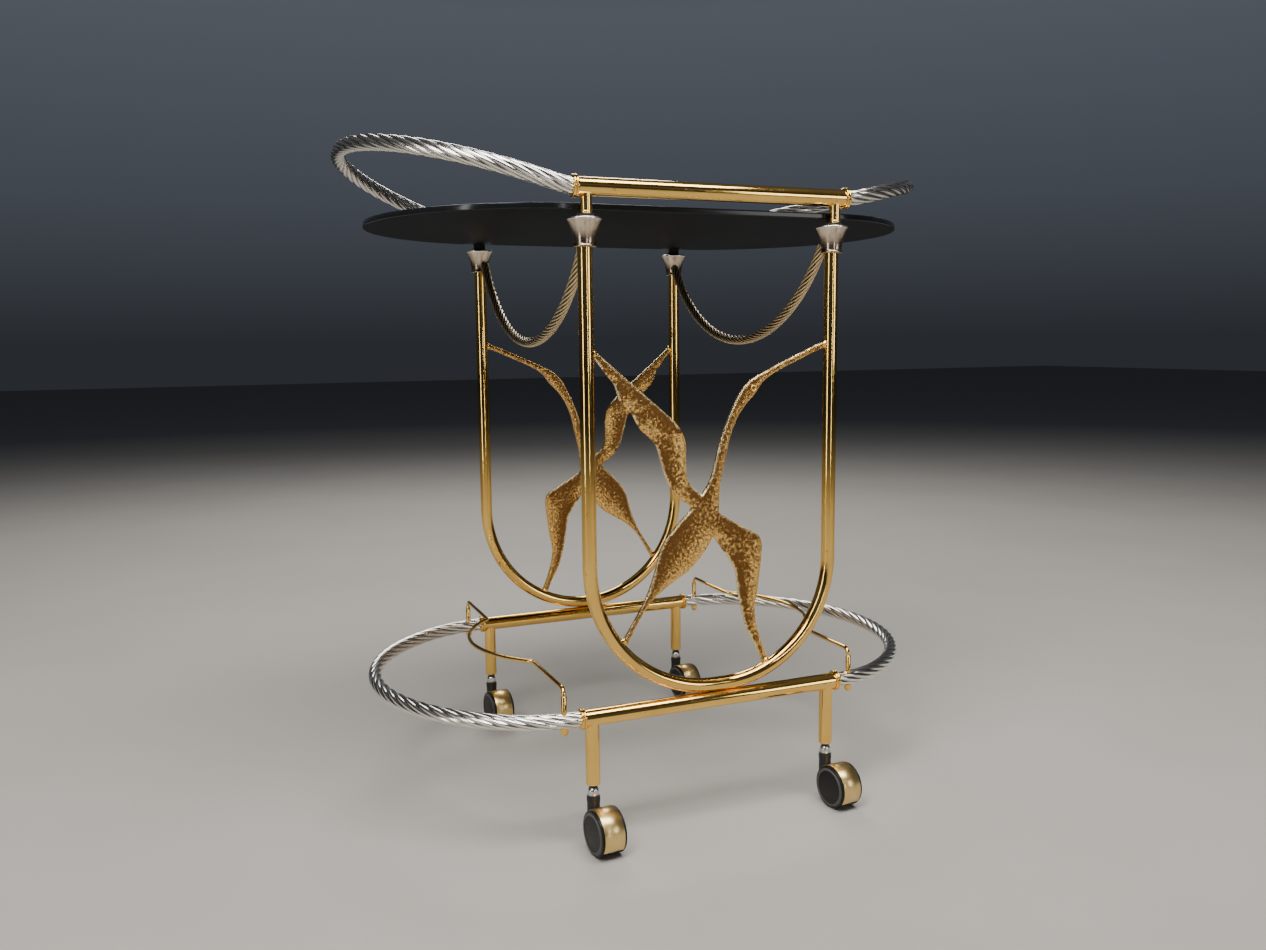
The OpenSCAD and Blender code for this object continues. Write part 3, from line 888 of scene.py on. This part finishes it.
def casters():
    """Hoods, wheels, socket ledges and stems; all but the stems on the casters' own bodies."""
    for c in CORNERS:
        swivel, _ = joint("swivel_" + c)
        hub, axle = joint("roll_a_" + c)
        wheel_r = hub.z
        trail = (hub - swivel).xy.to_3d().normalized()
        hood(c, hub, axle, trail, wheel_r)
        for hand, way in (("a", -1), ("b", 1)):
            wheel(f"wheel_{hand}_{c}", hub, way * axle, wheel_r)
        stem(c, swivel)
        socket_ledges(c, swivel)


def socket_ledges(c, swivel):
    """Two ledges round the top of the black socket."""
    ledges, proud, sunk = (-2.4 * MM, -5.4 * MM), 0.5 * MM, 0.4 * MM
    half_face, half_root, top_band = 0.6 * MM, 0.9 * MM, 0.5 * MM
    node = "caster_body_" + c
    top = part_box(node)[1].z
    upper = [v.co for v in frame["nodes"][node].data.vertices if v.co.z > top - top_band]
    neck = max((p - swivel).xy.length for p in upper)
    place = Vector((swivel.x, swivel.y, top))
    parts = []
    for z in ledges:
        profile = [(neck - sunk, z - half_root), (neck + proud, z - half_face),
                   (neck + proud, z + half_face), (neck - sunk, z + half_root)]
        parts.append(sweep(profile, place, Z, 48, 2 * pi, X))
    new_piece("socket_ledges_" + c, mesh_of("ledges", parts), "caster_" + c, "black_nylon")


def hood(c, hub, axle, trail, wheel_r):
    """Brass strip bent over the wheels' middle, its long edges eased."""
    outer, thick, half_w, ease = wheel_r + 0.6 * MM, 0.9 * MM, 12 * MM, 0.25 * MM
    below_level, past_top = radians(35.85), radians(50)
    profile = [
        (outer - thick, -half_w + ease), (outer - thick + ease, -half_w), (outer - ease, -half_w),
        (outer, -half_w + ease), (outer, half_w - ease), (outer - ease, half_w),
        (outer - thick + ease, half_w), (outer - thick, half_w - ease),
    ]
    turn = past_top + pi / 2 + below_level
    lower_end = cos(below_level) * trail - sin(below_level) * Z
    way = axle if trail.cross(Z).dot(axle) > 0 else -axle
    mesh = mesh_of("hood", [sweep(profile, hub, way, 180, turn, lower_end)])
    new_piece("hood_strip_" + c, mesh, "caster_" + c, "hood_brass", ["caster_hood_" + c], 50)


def wheel(node, hub, out, wheel_r):
    """One wheel: tread, rounded outer disc and a dished cap with a raised lip."""
    r, w = wheel_r / MM, 15.75
    lip_in, lip_out = 0.785, 0.90
    tread = [(3.05, 2), (r - 1.9, 2), (r - 1.9, 12.3), (r - 0.3, 12.3), (r, 12.7), (r, w - 1.9)]
    disc = [(r - 0.4, w - 1.2), (r - 1.2, w - 0.8), (0.86 * r, w - 0.8)]
    lip_ring = [(0.85 * r, w - 0.1), (0.84 * r, w), (0.80 * r, w), (0.79 * r, w - 0.15)]
    dish = [(0.77 * r, w - 0.5), (0.74 * r, w - 0.55), (0.30 * r, w - 0.1), (0.02 * r, w - 0.05)]
    points = [(a * MM, b * MM) for a, b in tread + disc + lip_ring + dish]
    mesh = mesh_of(node, [lathe(rounded(points, 0.4 * MM, 3), hub, out, 96)])
    axis, lip = out.normalized(), []
    for v in mesh.vertices:
        along = (v.co - hub).dot(axis)
        reach = (v.co - hub - along * axis).length / wheel_r
        lip.append(float(lip_in < reach < lip_out and along > (w - 1.0) * MM))
    mark(mesh, "lip", lip)
    new_piece(node + "_disc", mesh, node, "wheel_plastic", [node], 40)


def stem(c, swivel):
    """Domed steel stem over the black socket."""
    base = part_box("caster_stem_" + c)[0].z
    place = Vector((swivel.x, swivel.y, base))
    low_pin, high_pin = [(0, 0), (4, 0), (4, 16.8)], [(2.9, 57), (0, 57)]
    dome = [(6.2, 16.8), (6.5, 17.3), (6.5, 21.3), (6.3, 22.6), (6.0, 23.8), (5.4, 24.9),
            (4.7, 25.7), (3.6, 26.3), (2.9, 26.6)]
    points = [(a * MM, b * MM) for a, b in low_pin + dome + high_pin]
    new_piece("stem_dome_" + c, mesh_of("stem", [lathe(points, place, Z, 48)]),
              "frame", "stem_steel", ["caster_stem_" + c], 40)


# Floor, light and camera

AIM_HEIGHT = 0.35


def lay_floor():
    """Pale floor that fades to the surround's dark blue far away."""
    mesh = bpy.data.meshes.new("floor")
    reach, fade = 14, 10
    corners = [(-reach, -reach, 0), (reach, -reach, 0), (reach, reach, 0), (-reach, reach, 0)]
    mesh.from_pydata(corners, [], [(0, 1, 2, 3)])
    floor = bpy.data.objects.new("floor", mesh)
    bpy.context.scene.collection.objects.link(floor)
    material, bsdf = shader("floor", (0.50, 0.47, 0.42), 0.0, 0.75)
    w = Weaver(material, bsdf)
    pale = w.mix(w.noise(2.5, 6), (0.40, 0.375, 0.335), (0.48, 0.45, 0.405))
    away = w.add("ShaderNodeVectorMath", {0: w.place}, operation="LENGTH").outputs["Value"]
    far = w.ramp(w.math("DIVIDE", away, fade), (0.24, 0.0), (0.60, 1.0))
    w.feed("Base Color", w.mix(far, pale, (0.075, 0.084, 0.102)))
    mesh.materials.append(material)


def surround():
    """Dark blue surround: brighter above the horizon, dark higher up and grey overhead."""
    world = bpy.data.worlds.new("surround")
    bpy.context.scene.world = world
    world.use_nodes = True
    w = Weaver(world, world.node_tree.nodes["Background"])
    way = w.tree.nodes.new("ShaderNodeTexCoord").outputs["Generated"]
    height = w.add("ShaderNodeSeparateXYZ", {0: way}).outputs["Z"]
    w.feed("Color", w.ramp(height, (0.0, (0.026, 0.029, 0.035)), (0.12, (0.060, 0.067, 0.082)),
                           (0.28, (0.090, 0.100, 0.122)), (0.42, (0.030, 0.028, 0.026)),
                           (0.95, (0.12, 0.12, 0.12))))


def lights():
    """A soft light overhead, a key, two upright strips for the tubes' edges, and two fills."""
    area_light("overhead", (-0.1, -1.05, 2.9), (2.8, 1.1), 105)
    area_light("key", (-1.7, -1.5, 2.4), (0.9, 0.9), 32)
    area_light("left_strip", (-2.5, -1.0, 1.0), (0.22, 2.0), 13, False)
    area_light("front_strip", (0.15, -3.0, 1.1), (0.08, 2.2), 8, False)
    area_light("front_right", (1.6, -2.4, 0.9), (0.7, 0.9), 9)
    area_light("back", (0.6, 2.4, 2.4), (1.4, 1.0), 40)


def area_light(name, place, sides, power, lights_floor=True):
    """Soft rectangular light aimed at the trolley's middle; one may show only in reflections."""
    data = bpy.data.lights.new(name, "AREA")
    data.shape = "RECTANGLE"
    data.size, data.size_y = sides
    data.energy = power
    lamp = bpy.data.objects.new(name, data)
    bpy.context.scene.collection.objects.link(lamp)
    lamp.location = place
    lamp.visible_diffuse = lights_floor
    aim = Vector((0, 0, AIM_HEIGHT)) - lamp.location
    lamp.rotation_euler = aim.to_track_quat("-Z", "Y").to_euler()


def camera():
    """Camera at the trolley's front left, below its top; angles in radians."""
    place = (-0.5318, -1.2534, 0.5557)
    yaw, pitch, roll = 0.3933, -0.1267, -0.0105
    data = bpy.data.cameras.new("camera")
    data.sensor_width = 36
    data.lens = 30.25
    viewer = bpy.data.objects.new("camera", data)
    bpy.context.scene.collection.objects.link(viewer)
    bpy.context.scene.camera = viewer
    ahead = Vector((sin(yaw) * cos(pitch), cos(yaw) * cos(pitch), sin(pitch)))
    flat_right = Vector((cos(yaw), -sin(yaw), 0))
    flat_up = flat_right.cross(ahead)
    right = cos(roll) * flat_right + sin(roll) * flat_up
    up = cos(roll) * flat_up - sin(roll) * flat_right
    turn = Matrix((right, up, -ahead)).transposed()
    viewer.matrix_world = Matrix.Translation(place) @ turn.to_4x4()


paint_frame()
straight_tubes()
legs()
rail_posts()
collars()
u_frames()
twisted_ends()
swags()
cups()
glass()
crane("front", -1)
crane("back", 1)
wires()
casters()
lay_floor()
surround()
lights()
camera()
